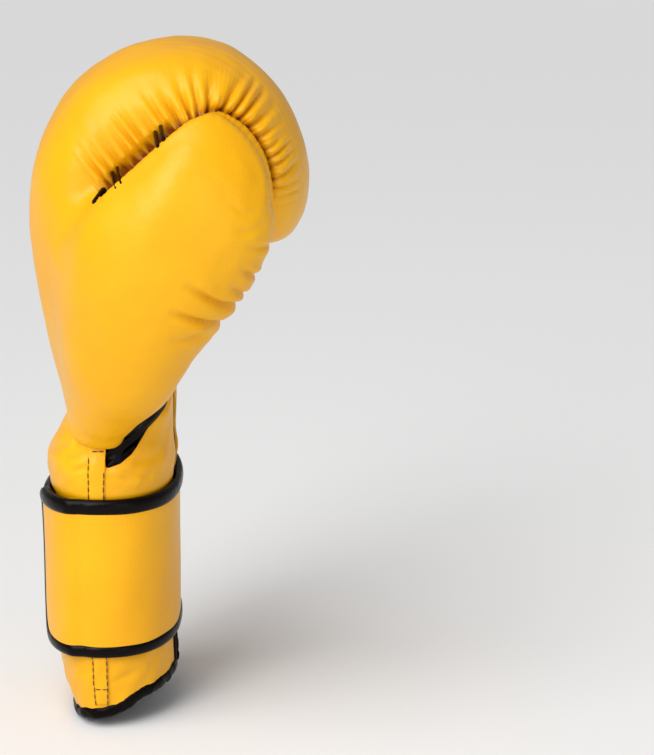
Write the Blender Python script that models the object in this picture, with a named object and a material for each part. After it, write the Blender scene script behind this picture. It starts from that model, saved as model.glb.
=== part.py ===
"""A left-hand boxing glove with a hook-and-loop wrist strap, as an assembly of panels, pads and bindings.

The glove stands on the hem of its cuff. +Z runs up the forearm to the knuckles, -X is the back of the hand,
+X the palm, -Y the thumb side. Sizes are in millimetres and are scaled to metres as each mesh is made.
Every padded shape is a stack of layers between two nested surfaces, so a panel, a pad or a lining is one
patch of that stack: a range along the shape, a range round it, and a range of depth.
"""

import math

import bmesh
import bpy
from mathutils import Matrix, Vector

MM = 0.001

# Driving dimensions, in millimetres.
LEATHER = 1.4
LAYER_GAP = 0.4
LINING = 0.9
CUFF_FOAM = 6.0
STRAP_WIDTH = 79.0
BINDING_HEIGHT = 7.0
BINDING_RISE = 0.8  # how far a binding stands above the leather that it edges
HEM_HEIGHT = 9.0
SLIT_HALF_ANGLE = 9.0  # degrees round the cuff, on the palm
ROUNDNESS = 0.84  # 1 is an ellipse, less is a boxier section

# The bounding box is centred on the origin, standing on Z = 0, once these are added to every point.
SHIFT = Vector((-31.9, 15.9, 0.0))

YELLOW = ((0.95, 0.56, 0.01), 0.38)
BLACK = ((0.012, 0.010, 0.011), 0.25)
FOAM = ((0.72, 0.70, 0.62), 0.9)
CLOTH = ((0.03, 0.03, 0.035), 0.85)
TAPE = ((0.02, 0.02, 0.02), 0.95)


def clear_scene():
    for old in list(bpy.data.objects):
        bpy.data.objects.remove(old)


def material(name, look):
    found = bpy.data.materials.get(name)
    if found:
        return found
    made = bpy.data.materials.new(name)
    made.use_nodes = True
    shader = made.node_tree.nodes["Principled BSDF"]
    colour, roughness = look
    shader.inputs["Base Color"].default_value = (*colour, 1.0)
    shader.inputs["Roughness"].default_value = roughness
    shader.inputs["Metallic"].default_value = 0.0
    return made


MATERIALS = {
    "yellow_leather": YELLOW,
    "black_leather": BLACK,
    "foam": FOAM,
    "lining_cloth": CLOTH,
    "hook_loop_tape": TAPE,
}


def add_object(name, verts, faces, slot):
    """One named solid from points in millimetres."""
    mesh = bpy.data.meshes.new(name)
    mesh.from_pydata([(Vector(v) + SHIFT) * MM for v in verts], [], faces)
    mesh.validate()
    tidy = bmesh.new()
    tidy.from_mesh(mesh)
    bmesh.ops.triangulate(tidy, faces=tidy.faces)
    bmesh.ops.recalc_face_normals(tidy, faces=tidy.faces)
    tidy.to_mesh(mesh)
    tidy.free()
    mesh.materials.append(material(slot, MATERIALS[slot]))
    mesh.shade_smooth()
    mesh.set_sharp_from_angle(angle=math.radians(40))
    obj = bpy.data.objects.new(name, mesh)
    bpy.context.scene.collection.objects.link(obj)
    return obj


def spread(low, high, count):
    """count + 1 evenly spaced values from low to high."""
    return [low + (high - low) * i / count for i in range(count + 1)]


def blend_rows(rows, t):
    """A smooth (Catmull-Rom) row of values at t, from 0 at the first row to 1 at the last."""
    last = len(rows) - 1
    place = min(max(t, 0.0), 1.0) * last
    i = min(int(place), last - 1)
    f = place - i
    before, a, b, after = (rows[min(max(k, 0), last)] for k in (i - 1, i, i + 1, i + 2))
    mixed = []
    for p0, p1, p2, p3 in zip(before, a, b, after):
        slope1 = (p2 - p0) / 2
        slope2 = (p3 - p1) / 2
        mixed.append(
            p1
            + slope1 * f
            + (3 * (p2 - p1) - 2 * slope1 - slope2) * f * f
            + (2 * (p1 - p2) + slope1 + slope2) * f * f * f
        )
    return mixed


def signed_power(value, power):
    return math.copysign(abs(value) ** power, value)


def slab(name, slot, outer, inner, along, round_range, columns):
    """A patch between two surfaces. round_range(a) gives the first and last angle at the station a."""
    verts, faces = [], []
    rows = len(along) - 1
    for surface in (outer, inner):
        for a in along:
            first, last = round_range(a)
            verts += [surface(a, v) for v in spread(first, last, columns)]
    width = columns + 1
    layer = (rows + 1) * width
    for i in range(rows):
        for j in range(columns):
            p = i * width + j
            faces.append((p, p + 1, p + 1 + width, p + width))
            faces.append((layer + p, layer + p + width, layer + p + 1 + width, layer + p + 1))
    for i in range(rows):
        for j in (0, columns):
            p = i * width + j
            faces.append((p, p + width, layer + p + width, layer + p))
    for j in range(columns):
        for i in (0, rows):
            p = i * width + j
            faces.append((p, p + 1, layer + p + 1, layer + p))
    return add_object(name, verts, faces, slot)


def tube_wall(name, slot, outer, inner, along, columns, capped=False):
    """A closed sleeve between two surfaces, and with capped a thimble whose far end is shut."""
    verts, faces = [], []
    rows = len(along) - 1
    for surface in (outer, inner):
        for a in along:
            verts += [surface(a, 360.0 * j / columns) for j in range(columns)]
    layer = (rows + 1) * columns

    def ring(start, j):
        return start + j % columns

    for i in range(rows):
        for j in range(columns):
            p, q = i * columns, (i + 1) * columns
            faces.append((ring(p, j), ring(p, j + 1), ring(q, j + 1), ring(q, j)))
            inner_face = (ring(p, j), ring(q, j), ring(q, j + 1), ring(p, j + 1))
            faces.append(tuple(layer + k for k in inner_face))
    for j in range(columns):
        faces.append((ring(0, j), ring(0, j + 1), layer + ring(0, j + 1), layer + ring(0, j)))
    end = rows * columns
    if capped:
        faces.append(tuple(end + j for j in range(columns)))
        faces.append(tuple(layer + end + j for j in range(columns)))
    else:
        for j in range(columns):
            faces.append((ring(end, j), ring(end, j + 1), layer + ring(end, j + 1), layer + ring(end, j)))
    return add_object(name, verts, faces, slot)


# The hand part, a padded slab that runs up the back of the hand and curls over the knuckles to the
# fingertips. Its back face's x, z; its palm face's x, z; the half width to the thumb and to the little
# finger; the thickness of the padding over the back of the hand.
HAND = (
    (-19, 144.5, 33, 144.5, 37, 40, 9),
    (-20, 157, 33, 157, 41, 43, 11),
    (-27, 190, 29, 182, 48, 50, 17),
    (-32, 225, 25, 208, 55, 56, 23),
    (-33, 254, 22, 229, 59, 60, 28),
    (-28, 281, 22, 245, 61, 61, 32),
    (-12, 308, 26, 255, 61, 61, 33),
    (10, 324, 32, 260, 60, 60, 33),
    (36, 330, 38, 262, 59, 59, 32),
    (62, 325, 44, 260, 57, 57, 30),
    (84, 307, 48, 256, 53, 54, 28),
    (97, 281, 51, 249, 48, 49, 26),
    (99, 255, 56, 242, 40, 41, 24),
    (92, 238, 65, 236, 26, 27, 20),
    (80, 231, 76, 231, 2, 2, 18),
)
SKIN_IN = LEATHER + 1.3  # flat facets of different sizes stay clear of each other in this gap
PALM_FOAM = 5.0
SIDE_FOAM = 9.0
LINING_GAP = 1.4
CAVITY_END = 0.83  # how far the hand compartment reaches, as a share of the whole curl
CAVITY_TAPER = 0.62


def hand_middle(place):
    bx, bz, px, pz = blend_rows(HAND, place)[:4]
    return Vector((bx + px, 0, bz + pz)) / 2


def hand_surface(back, palm, side, end=1.0, taper=2.0, pull=0.0):
    """The hand's surface at three depths, in millimetres. back may be a function of the station's foam.

    Past the place taper the sections shrink to a dome that closes at the place end, drawn back by pull.
    """

    def point(t, v):
        place = t * end
        bx, bz, px, pz, thumb, little, foam = blend_rows(HAND, place)
        depth = back(foam) if callable(back) else back
        half = Vector((bx - px, 0, bz - pz)) / 2
        middle = Vector((px, 0, pz)) + half
        thick = half.length
        way = half.normalized()
        close = 1.0
        if place > taper:
            share = (place - taper) / (end - taper)
            close = max(0.06, math.sqrt(max(0.0, 1 - share * share)))
            middle -= (hand_middle(place) - hand_middle(place - 0.01)).normalized() * pull * share
        room = 2 * thick / max(depth + palm, 0.1)
        fit = min(1.0, 0.95 * room)
        to_back = thick - depth * fit
        to_palm = thick - palm * fit
        centre = (to_back - to_palm) / 2
        reach = (to_back + to_palm) / 2 * close
        c = signed_power(math.cos(math.radians(v)), ROUNDNESS)
        s = signed_power(math.sin(math.radians(v)), ROUNDNESS)
        width = thumb if s > 0 else little
        width = (width - min(side, width * 0.9)) * close
        return middle + way * (centre + reach * c) + Vector((0, -width * s, 0))

    return point


def whole_foam(foam):
    return SKIN_IN + foam


def under_foam(foam):
    return whole_foam(foam) + LINING_GAP


def under_lining(foam):
    return under_foam(foam) + LINING


def between(top, bottom, share):
    """The surface part of the way down from top to bottom."""

    def point(t, v):
        return top(t, v).lerp(bottom(t, v), share)

    return point


BACK_EDGE = 96.0  # degrees from the back at which the gathered seam runs
BACK_EDGE_GAP = 1.4
PAD_GAP = 2.8
STEPS = 20  # stations along the curl
SEAM_END = 18 / STEPS  # the palm-side finger panel ends here, and the back panel wraps the fingertips
EDGE_TURNS = 13 / STEPS
GUSSET_TOP = 4 / STEPS  # the black gusset beside the thumb's root narrows to nothing here
GUSSET_TURN = 46.0  # degrees that it covers at the wrist


def back_edge(t):
    """The back panel's edge, in degrees: it closes round the fingertips after the finger panel ends."""
    if t < EDGE_TURNS:
        return BACK_EDGE
    f = min(1.0, (t - EDGE_TURNS) / (SEAM_END - EDGE_TURNS))
    return BACK_EDGE + (179.0 - BACK_EDGE) * f * f * (3 - 2 * f)


def back_range(t):
    return -back_edge(t), back_edge(t)


def finger_range(t):
    return back_edge(t) + BACK_EDGE_GAP, 360 - back_edge(t) - BACK_EDGE_GAP


def gusset_edge(t):
    return BACK_EDGE + GUSSET_TURN * max(0.0, 1 - t / GUSSET_TOP) ** 0.8


def palm_range(t):
    return gusset_edge(t) + BACK_EDGE_GAP, 360 - BACK_EDGE - BACK_EDGE_GAP


def gusset_range(t):
    return BACK_EDGE + BACK_EDGE_GAP, gusset_edge(t) - BACK_EDGE_GAP / 2


def pad_range(t):
    return -BACK_EDGE + PAD_GAP, BACK_EDGE - PAD_GAP


def under_range(t):
    return BACK_EDGE + PAD_GAP, 360 - BACK_EDGE - PAD_GAP


def stations(first, last):
    """Whole steps of the curl, so that layers and neighbours are cut at the same places."""
    return [i / STEPS for i in range(first, last + 1)]


def build_hand():
    skin = hand_surface(0, 0, 0)
    under_skin = hand_surface(LEATHER, LEATHER, LEATHER)
    top = hand_surface(SKIN_IN, SKIN_IN, SKIN_IN)
    cavity = (CAVITY_END, CAVITY_TAPER)
    bottom = hand_surface(whole_foam, SKIN_IN + PALM_FOAM, SKIN_IN + SIDE_FOAM, *cavity)
    palm_in = SKIN_IN + PALM_FOAM + LINING_GAP
    side_in = SKIN_IN + SIDE_FOAM + LINING_GAP
    lining_top = hand_surface(under_foam, palm_in, side_in, *cavity, pull=LINING_GAP * 2)
    lining_bottom = hand_surface(
        under_lining, palm_in + LINING, side_in + LINING, *cavity, pull=(LINING_GAP + LINING) * 2
    )
    yellow, foam = "yellow_leather", "foam"
    slab("back_panel", yellow, skin, under_skin, stations(0, 20), back_range, 14)
    slab("palm_panel", yellow, skin, under_skin, stations(0, 8), palm_range, 8)
    slab("finger_panel", yellow, skin, under_skin, stations(9, 17), finger_range, 8)
    slab("thumb_gusset", "black_leather", skin, under_skin, stations(0, 3), gusset_range, 3)
    slab("knuckle_pad_outer", foam, top, between(top, bottom, 0.5), stations(0, 19), pad_range, 14)
    slab("knuckle_pad_inner", foam, between(top, bottom, 0.54), bottom, stations(0, 19), pad_range, 14)
    slab("palm_pad", foam, top, bottom, stations(0, 8), under_range, 8)
    slab("finger_pad", foam, top, bottom, stations(9, 19), under_range, 8)
    tube_wall("hand_lining", "lining_cloth", lining_top, lining_bottom, spread(0, 1, 13), 20, capped=True)


# The thumb, a padded lobe beside the hand. Centre x, y, z; half width in the plane of the thumb; half depth
# away from the hand and towards it.
THUMB = (
    (6, -38, 150, 13, 9, 9),
    (8, -43, 158, 20, 15, 14),
    (13, -49, 172, 28, 21, 20),
    (19, -55, 195, 36, 26, 25),
    (26, -60, 218, 43, 29, 28),
    (33, -63, 240, 47, 30, 28),
    (41, -65, 262, 43, 28, 26),
    (49, -66, 281, 31, 22, 22),
    (54, -66, 293, 17, 13, 13),
    (57, -66, 300, 2, 2, 2),
)
THUMB_AXIS = Vector((55, -30, 157)).normalized()
THUMB_ACROSS = Vector((THUMB_AXIS.z, 0, -THUMB_AXIS.x)).normalized()
THUMB_OUT = THUMB_ACROSS.cross(THUMB_AXIS)
THUMB_EDGE = 100.0  # degrees from the thumb's outer face at which its two panels meet
THUMB_EDGE_BACK = 126.0  # the same on the side where the hand hides the seam
THUMB_CAVITY_END = 0.82
THUMB_CAVITY_TAPER = 0.5
THUMB_CAVITY_ROOM = (14.5, 12.0)  # half width and half depth of the hollow that holds the thumb


def thumb_surface(depth, fixed=None, end=1.0, taper=2.0, pull=0.0):
    """The thumb's surface at a depth; fixed gives the hollow's own half width and half depth instead."""

    def point(t, v):
        place = t * end
        x, y, z, wide, away, near = blend_rows(THUMB, place)
        close = 1.0
        centre = Vector((x, y, z))
        if place > taper:
            share = (place - taper) / (end - taper)
            close = max(0.08, math.sqrt(max(0.0, 1 - share * share)))
            centre -= THUMB_AXIS * pull * share
        c, s = math.cos(math.radians(v)), math.sin(math.radians(v))
        if fixed:
            wide = min(fixed[0], wide * 0.6) - depth
            away = min(fixed[1], away * 0.6) - depth
            near = min(fixed[1], near * 0.6) - depth
        else:
            fit = min(depth, 0.8 * min(wide, away, near))
            wide, away, near = wide - fit, away - fit, near - fit
        out = away if c > 0 else near
        return centre + THUMB_OUT * out * c * close + THUMB_ACROSS * wide * s * close

    return point


def add_cutter(name, verts, faces):
    """A helper that cuts other pieces and is not a piece itself."""
    cutter = add_object(name, verts, faces, "foam")
    cutter.hide_render = True
    cutter.display_type = "WIRE"
    return cutter


def solid_of_surface(name, surface, along, columns):
    """A closed body inside a surface, used as a cutter."""
    verts, faces = [], []
    for a in along:
        verts += [surface(a, 360.0 * j / columns) for j in range(columns)]
    for i in range(len(along) - 1):
        for j in range(columns):
            k = (j + 1) % columns
            low, high = i * columns, (i + 1) * columns
            faces.append((low + j, low + k, high + k, high + j))
    faces.append(tuple(range(columns)))
    faces.append(tuple((len(along) - 1) * columns + j for j in range(columns)))
    return add_cutter(name, verts, faces)


def cut(obj, cutter):
    modifier = obj.modifiers.new("cut_" + cutter.name, "BOOLEAN")
    modifier.operation = "DIFFERENCE"
    modifier.object = cutter


def capsule(start, end, radius):
    """A surface function of a tube from start to end, for solid_of_surface."""
    start, end = Vector(start), Vector(end)
    way = (end - start).normalized()
    side = way.cross(Vector((0, 0, 1))).normalized()
    up = side.cross(way)

    def point(t, v):
        around = side * math.cos(math.radians(v)) + up * math.sin(math.radians(v))
        return start + (end - start) * t + around * radius

    return point


HAND_CLEARANCE = 1.2  # between the hand part's skin and whatever the thumb has beside it
THUMB_MOUTH = ((4, -14, 162), (15, -50, 182))  # the tunnel that joins the two hollows
THUMB_MOUTH_RADIUS = 13.0
NOTCH = ((-4, -62, 140), (23, -12, 177))  # corners of the part of the foam left out below the tunnel


def block(name, low, high):
    """A box cutter."""
    xs, ys, zs = zip(low, high)
    verts = [(x, y, z) for x in xs for y in ys for z in zs]
    faces = [(0, 1, 3, 2), (4, 6, 7, 5), (0, 4, 5, 1), (2, 3, 7, 6), (0, 2, 6, 4), (1, 5, 7, 3)]
    return add_cutter(name, verts, faces)


def thumb_outer_range(t):
    return -THUMB_EDGE_BACK, THUMB_EDGE


def thumb_inner_range(t):
    return THUMB_EDGE + PAD_GAP, 360 - THUMB_EDGE_BACK - PAD_GAP


THUMB_STEPS = 12
THUMB_TIP = 0.985  # the panels stop just short of the point where the sections shrink to nothing
THUMB_PAD = (0.03, 0.97)
THUMB_LINING_STEPS = 8
THUMB_LINING_START = 0.2  # the lining starts inside the tunnel


def build_thumb():
    cavity = (THUMB_CAVITY_ROOM, THUMB_CAVITY_END, THUMB_CAVITY_TAPER)
    skin, under_skin = thumb_surface(0), thumb_surface(LEATHER)
    foam_top, foam_bottom = thumb_surface(SKIN_IN), thumb_surface(0, *cavity)
    cloth_depth = LAYER_GAP + 0.3
    cloth_top = thumb_surface(cloth_depth, *cavity, pull=1.0)
    cloth_bottom = thumb_surface(cloth_depth + LINING, *cavity, pull=3.0)
    steps = spread(0, THUMB_TIP, THUMB_STEPS)
    pad_steps = spread(*THUMB_PAD, THUMB_STEPS - 2)
    cloth_steps = spread(THUMB_LINING_START, 1, THUMB_LINING_STEPS)
    pieces = [
        slab("thumb_outer_panel", "yellow_leather", skin, under_skin, steps, thumb_outer_range, 12),
        slab("thumb_inner_panel", "yellow_leather", skin, under_skin, steps, thumb_inner_range, 6),
        slab("thumb_pad_outer", "foam", foam_top, foam_bottom, pad_steps, thumb_outer_range, 9),
        slab("thumb_pad_inner", "foam", foam_top, foam_bottom, pad_steps, thumb_inner_range, 5),
        tube_wall("thumb_lining", "lining_cloth", cloth_top, cloth_bottom, cloth_steps, 12, capped=True),
    ]
    room = hand_surface(-HAND_CLEARANCE, -HAND_CLEARANCE, -HAND_CLEARANCE)
    hand_room = solid_of_surface("hand_cutter", room, stations(0, STEPS), 24)
    for piece in pieces:
        cut(piece, hand_room)
    tunnel_wall = capsule(*THUMB_MOUTH, THUMB_MOUTH_RADIUS)
    tunnel = solid_of_surface("thumb_mouth_cutter", tunnel_wall, [0, 1], 12)
    for name in ("back_panel", "palm_panel", "hand_lining", "thumb_inner_panel", "thumb_pad_inner"):
        cut(bpy.data.objects[name], tunnel)
    notch = block("thumb_notch_cutter", *NOTCH)
    for name in ("knuckle_pad_outer", "knuckle_pad_inner", "palm_pad"):
        cut(bpy.data.objects[name], notch)


# The cuff, an oval sleeve that is open along the palm. Height; then how far it reaches to the back of the
# hand, the palm, the thumb and the little finger.
CUFF = (
    (0, 17.0, 32.0, 43.0, 44.0),
    (17, 23.0, 32.0, 44.0, 45.0),
    (35, 25.5, 31.5, 45.0, 45.5),
    (52, 26.0, 31.5, 45.0, 45.5),
    (70, 26.0, 31.5, 45.0, 45.0),
    (88, 26.0, 31.5, 44.5, 45.0),
    (105, 26.5, 32.0, 43.0, 44.0),
    (122, 28.0, 33.0, 41.5, 43.0),
    (140, 23.0, 34.0, 38.5, 41.0),
)
CUFF_POWER = 0.9


def cuff_surface(out):
    """The cuff's outer leather moved outwards. out may be a function of the angle, which runs from the palm
    round the thumb side to the back."""

    def point(z, angle):
        back, palm, thumb, little = blend_rows(CUFF, z / CUFF[-1][0])[1:]
        extra = out(angle) if callable(out) else out
        c = signed_power(math.cos(math.radians(angle)), CUFF_POWER)
        s = signed_power(math.sin(math.radians(angle)), CUFF_POWER)
        x = ((palm if c > 0 else back) + extra) * c
        y = -((thumb if s > 0 else little) + extra) * s
        return Vector((x, y, z))

    return point


def strap_foot(angle):
    """The strap's lower edge: level across the thumb side, and climbing on the little finger's side."""
    return STRAP_LOW + STRAP_CLIMB * ((1 + math.cos(math.radians(angle - STRAP_PEAK))) / 2) ** 5


def strap_surface(out, low, high):
    """A level between low and high above the strap's lower edge, as a share from 0 to 1."""
    shell = cuff_surface(out)

    def point(share, angle):
        return shell(strap_foot(angle) + low + (high - low) * share, angle)

    return point


def angles(first, last):
    return lambda a: (first, last)


STRAP_LOW = 36.5
STRAP_CLIMB = 9.0
STRAP_PEAK = -55.0  # degrees, where the climb is greatest
STRAP_IN = 1.7  # the strap's inner face above the cuff
STRAP_LIFT = 3.5  # how much further out it runs over the fixed band and the tapes
LIFT_FROM, LIFT_TO = 105.0, 119.0
HINGES = (-12.0, 45.0, 105.0)
STRAP_TIP = 166.0
STRAP_ROOT = -36.0
BAND_RANGE = (120.0, 321.0)
HINGE_GAP = 0.9  # degrees on each side of a fold line
STRAP_LEATHER = 2.6
BAND_THICKNESS = 1.4
TIP_BINDING = 4.0  # degrees
# Name; range in degrees; inner and outer face above the cuff.
TAPES = (
    ("loop_patch", (122, 164), 2.5, 3.4),
    ("hook_patch", (124, 160), 4.0, 4.8),
)


def strap_rise(angle):
    f = min(max((angle - LIFT_FROM) / (LIFT_TO - LIFT_FROM), 0.0), 1.0)
    return STRAP_LIFT * f * f * (3 - 2 * f)


def strap_layer(above):
    return lambda angle: STRAP_IN + strap_rise(angle) + above


def band_layer(above):
    return 0.7 + above


def strap_piece(name, first, last, layer, thick, below):
    """A length of strap, and the black bindings along its two edges, which wrap it by below."""
    columns = max(2, round((last - first) / 8))
    edge = BINDING_HEIGHT + 0.3
    rows = spread(0, 1, 3)
    skin = strap_surface(layer(thick), edge, STRAP_WIDTH - edge)
    under = strap_surface(layer(0), edge, STRAP_WIDTH - edge)
    slab(name, "yellow_leather", skin, under, rows, angles(first, last), columns)
    for place, low in (("bottom", 0), ("top", STRAP_WIDTH - BINDING_HEIGHT)):
        outer = strap_surface(layer(thick + BINDING_RISE), low, low + BINDING_HEIGHT)
        inner = strap_surface(layer(-below), low, low + BINDING_HEIGHT)
        binding = f"{name}_{place}_binding"
        slab(binding, "black_leather", outer, inner, [0, 1], angles(first, last), columns)


CUFF_ROWS = (HEM_HEIGHT + 0.4, 22, 45, 100, 122, 131, 140)
CUFF_COLUMNS = 24
SLIT_BINDING = (4.5, 8.2)  # degrees from the middle of the palm
TONGUE_REACH = 23.0  # degrees
TONGUE_THICKNESS = 2.0
STRIP_RANGE = (86.0, 96.0)  # the sewn strip up the thumb side
STRIP_TOP = 138.0


def build_cuff():
    wall = angles(SLIT_HALF_ANGLE, 360 - SLIT_HALF_ANGLE)
    foam_in = -LEATHER - 0.5 - CUFF_FOAM
    cloth_in = foam_in - 0.5 - LINING
    for name, slot, out, into in (
        ("cuff_shell", "yellow_leather", 0, -LEATHER),
        ("cuff_padding", "foam", -LEATHER - 0.5, foam_in),
        ("cuff_lining", "lining_cloth", foam_in - 0.5, cloth_in),
    ):
        slab(name, slot, cuff_surface(out), cuff_surface(into), CUFF_ROWS, wall, CUFF_COLUMNS)
    rim_out, rim_in = cuff_surface(0.6), cuff_surface(cloth_in - 0.4)
    slab("hem_binding", "black_leather", rim_out, rim_in, [0, HEM_HEIGHT], wall, CUFF_COLUMNS)
    first, last = SLIT_BINDING
    for side, edge in (("thumb", angles(first, last)), ("little", angles(360 - last, 360 - first))):
        slab(f"slit_binding_{side}", "black_leather", rim_out, rim_in, [0, *CUFF_ROWS], edge, 2)
    tongue_out = cloth_in - 1.5
    tongue_skin, tongue_back = cuff_surface(tongue_out), cuff_surface(tongue_out - TONGUE_THICKNESS)
    reach = angles(-TONGUE_REACH, TONGUE_REACH)
    slab("tongue", "black_leather", tongue_skin, tongue_back, CUFF_ROWS[1:], reach, 8)
    strip_rows = (*CUFF_ROWS[:-1], STRIP_TOP)
    strip_skin, strip_back = cuff_surface(1.3), cuff_surface(0.45)
    slab("seam_strip", "yellow_leather", strip_skin, strip_back, strip_rows, angles(*STRIP_RANGE), 3)


def build_strap():
    strap_piece("fixed_band", *BAND_RANGE, band_layer, BAND_THICKNESS, 0.2)
    edges = (STRAP_ROOT, *HINGES, STRAP_TIP - TIP_BINDING)
    names = ("strap_root", "strap_palm", "strap_middle", "strap_end")
    for i, name in enumerate(names):
        first = edges[i] + (HINGE_GAP if i > 0 else 0)
        last = edges[i + 1] - (HINGE_GAP if i < len(names) - 1 else 0.5)
        strap_piece(name, first, last, strap_layer, STRAP_LEATHER, 0.0)
    tip_out = strap_surface(strap_layer(STRAP_LEATHER + BINDING_RISE), 0, STRAP_WIDTH)
    tip_in = strap_surface(strap_layer(-0.2), 0, STRAP_WIDTH)
    tip = angles(STRAP_TIP - TIP_BINDING, STRAP_TIP)
    slab("strap_tip_binding", "black_leather", tip_out, tip_in, spread(0, 1, 3), tip, 2)
    low, high = BINDING_HEIGHT + 4, STRAP_WIDTH - BINDING_HEIGHT - 4
    for name, reach, inner, outer in TAPES:
        skin, under = strap_surface(outer, low, high), strap_surface(inner, low, high)
        slab(name, "hook_loop_tape", skin, under, [0, 0.5, 1], angles(*reach), 5)


# What turns hangs from an empty on the joint's axis. The names are the starts of its pieces' names.
WRIST_AXIS = (5.5, 0, 142.2)
THUMB_ROOT = (18, -28, 147)
FOLD_OUT = 6.4  # the strap's fold lines lie this far outside the cuff
FOLD_HEIGHT = 78.0


def fold_line(angle):
    return cuff_surface(FOLD_OUT)(FOLD_HEIGHT, angle)


def pivots():
    hand = ("back_", "palm_", "finger_", "thumb_gusset", "knuckle_", "hand_lining")
    thumb = ("thumb_outer", "thumb_inner", "thumb_pad", "thumb_lining")
    return (
        ("wrist_pivot", None, WRIST_AXIS, hand),
        ("thumb_pivot", "wrist_pivot", THUMB_ROOT, thumb),
        ("peel_pivot", None, fold_line(HINGES[0]), ("strap_palm",)),
        ("bend_pivot", "peel_pivot", fold_line(HINGES[1]), ("strap_middle",)),
        ("curl_pivot", "bend_pivot", fold_line(HINGES[2]), ("strap_end", "strap_tip", "hook_patch")),
    )


def hang_from(child, pivot, place):
    """Parents the child to the pivot at this place, and leaves the child where it is."""
    child.parent = pivot
    child.matrix_parent_inverse = Matrix.Translation(-place)


def add_pivots():
    places = {}
    for name, parent, point, starts in pivots():
        place = (Vector(point) + SHIFT) * MM
        pivot = bpy.data.objects.new(name, None)
        pivot.location = place
        bpy.context.scene.collection.objects.link(pivot)
        if parent:
            hang_from(pivot, bpy.data.objects[parent], places[parent])
        places[name] = place
        for obj in bpy.data.objects:
            if obj.type == "MESH" and obj.name.startswith(starts):
                hang_from(obj, pivot, place)


def main():
    clear_scene()
    build_cuff()
    build_strap()
    build_hand()
    build_thumb()
    add_pivots()


main()
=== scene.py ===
"""A left-hand leather boxing glove in soft studio light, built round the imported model.

Sizes and places are in millimetres in the glove's design frame: x = 0 in the middle of the cuff, y = 0
between the thumb and the little finger, z = 0 on the hem. The back of the hand is at -x, the palm at +x and
the thumb at -y. Angles are in degrees, and round the cuff they run from the palm (0) by the thumb (90) to the
back (180). place() moves a design point to the row frame, in metres.
"""

import math

import bmesh
import bpy
import numpy as np
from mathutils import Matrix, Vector
from mathutils.bvhtree import BVHTree


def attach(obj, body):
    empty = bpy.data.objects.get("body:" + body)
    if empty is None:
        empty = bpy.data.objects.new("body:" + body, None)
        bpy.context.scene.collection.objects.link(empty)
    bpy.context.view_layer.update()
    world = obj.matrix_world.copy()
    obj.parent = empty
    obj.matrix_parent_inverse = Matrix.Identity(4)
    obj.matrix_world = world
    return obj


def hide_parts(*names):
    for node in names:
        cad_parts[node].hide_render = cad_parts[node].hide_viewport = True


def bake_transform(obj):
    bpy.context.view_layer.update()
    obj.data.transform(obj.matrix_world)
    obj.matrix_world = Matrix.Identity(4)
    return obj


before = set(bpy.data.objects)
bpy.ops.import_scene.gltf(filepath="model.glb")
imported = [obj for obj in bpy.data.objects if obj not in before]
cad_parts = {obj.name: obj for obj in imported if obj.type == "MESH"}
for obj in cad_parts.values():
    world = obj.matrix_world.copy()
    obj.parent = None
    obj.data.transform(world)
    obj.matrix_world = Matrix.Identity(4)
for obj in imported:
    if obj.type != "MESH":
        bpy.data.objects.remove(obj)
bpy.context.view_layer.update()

MM = 0.001
DESIGN_ORIGIN = Vector((-31.9, 15.9, 0.0))  # where x = y = z = 0 of the design frame lies in the row frame


def place(point):
    return (Vector(point) + DESIGN_ORIGIN) * MM


# ---------- shapes shared with the CAD model

HAND = (
    (-19, 144.5, 33, 144.5, 37, 40),
    (-20, 157, 33, 157, 41, 43),
    (-27, 190, 29, 182, 48, 50),
    (-32, 225, 25, 208, 55, 56),
    (-33, 254, 22, 229, 59, 60),
    (-28, 281, 22, 245, 61, 61),
    (-12, 308, 26, 255, 61, 61),
    (10, 324, 32, 260, 60, 60),
    (36, 330, 38, 262, 59, 59),
    (62, 325, 44, 260, 57, 57),
    (84, 307, 48, 256, 53, 54),
    (97, 281, 51, 249, 48, 49),
    (99, 255, 56, 242, 40, 41),
    (92, 238, 65, 236, 26, 27),
    (80, 231, 76, 231, 2, 2),
)
THUMB = (  # centre x, y, z; half width to the back of the hand and to the palm; half depth away and near
    (2.5, -38.5, 141.5, 5, 5, 5, 5),
    (1.5, -40, 149, 15, 12, 10, 9),
    (6.5, -43, 158, 22, 15, 15, 14),
    (13, -49, 172, 31, 22, 21, 20),
    (19, -55, 195, 36, 29, 26, 25),
    (26, -60, 218, 42, 38, 29, 28),
    (33, -63, 240, 42, 45, 30, 28),
    (41, -65, 262, 29, 46, 28, 26),
    (49, -66, 281, 19, 35, 22, 22),
    (54, -66, 293, 12, 21, 13, 13),
    (57, -66, 300, 2, 3, 2, 2),
)
ROOT = (  # the bowl under the thumb, which sits in the sleeve: centre x, y, z; half width; half depth
    (3, -38.5, 138.2, 1.5, 1.5),
    (1.5, -37, 139.6, 9, 6.5),
    (-0.5, -34.5, 143, 12.5, 10),
    (-1.5, -29.5, 150, 15, 15),
    (-2, -25, 158, 15.5, 19.5),
    (-1, -22, 170, 16, 23),
    (2, -20, 186, 14, 24),
    (5, -18, 200, 3, 4),
)
THUMB_AXIS = Vector((55, -30, 157)).normalized()
THUMB_ACROSS = Vector((THUMB_AXIS.z, 0, -THUMB_AXIS.x)).normalized()
THUMB_OUT = THUMB_ACROSS.cross(THUMB_AXIS)
ROUNDNESS = 0.84
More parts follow.
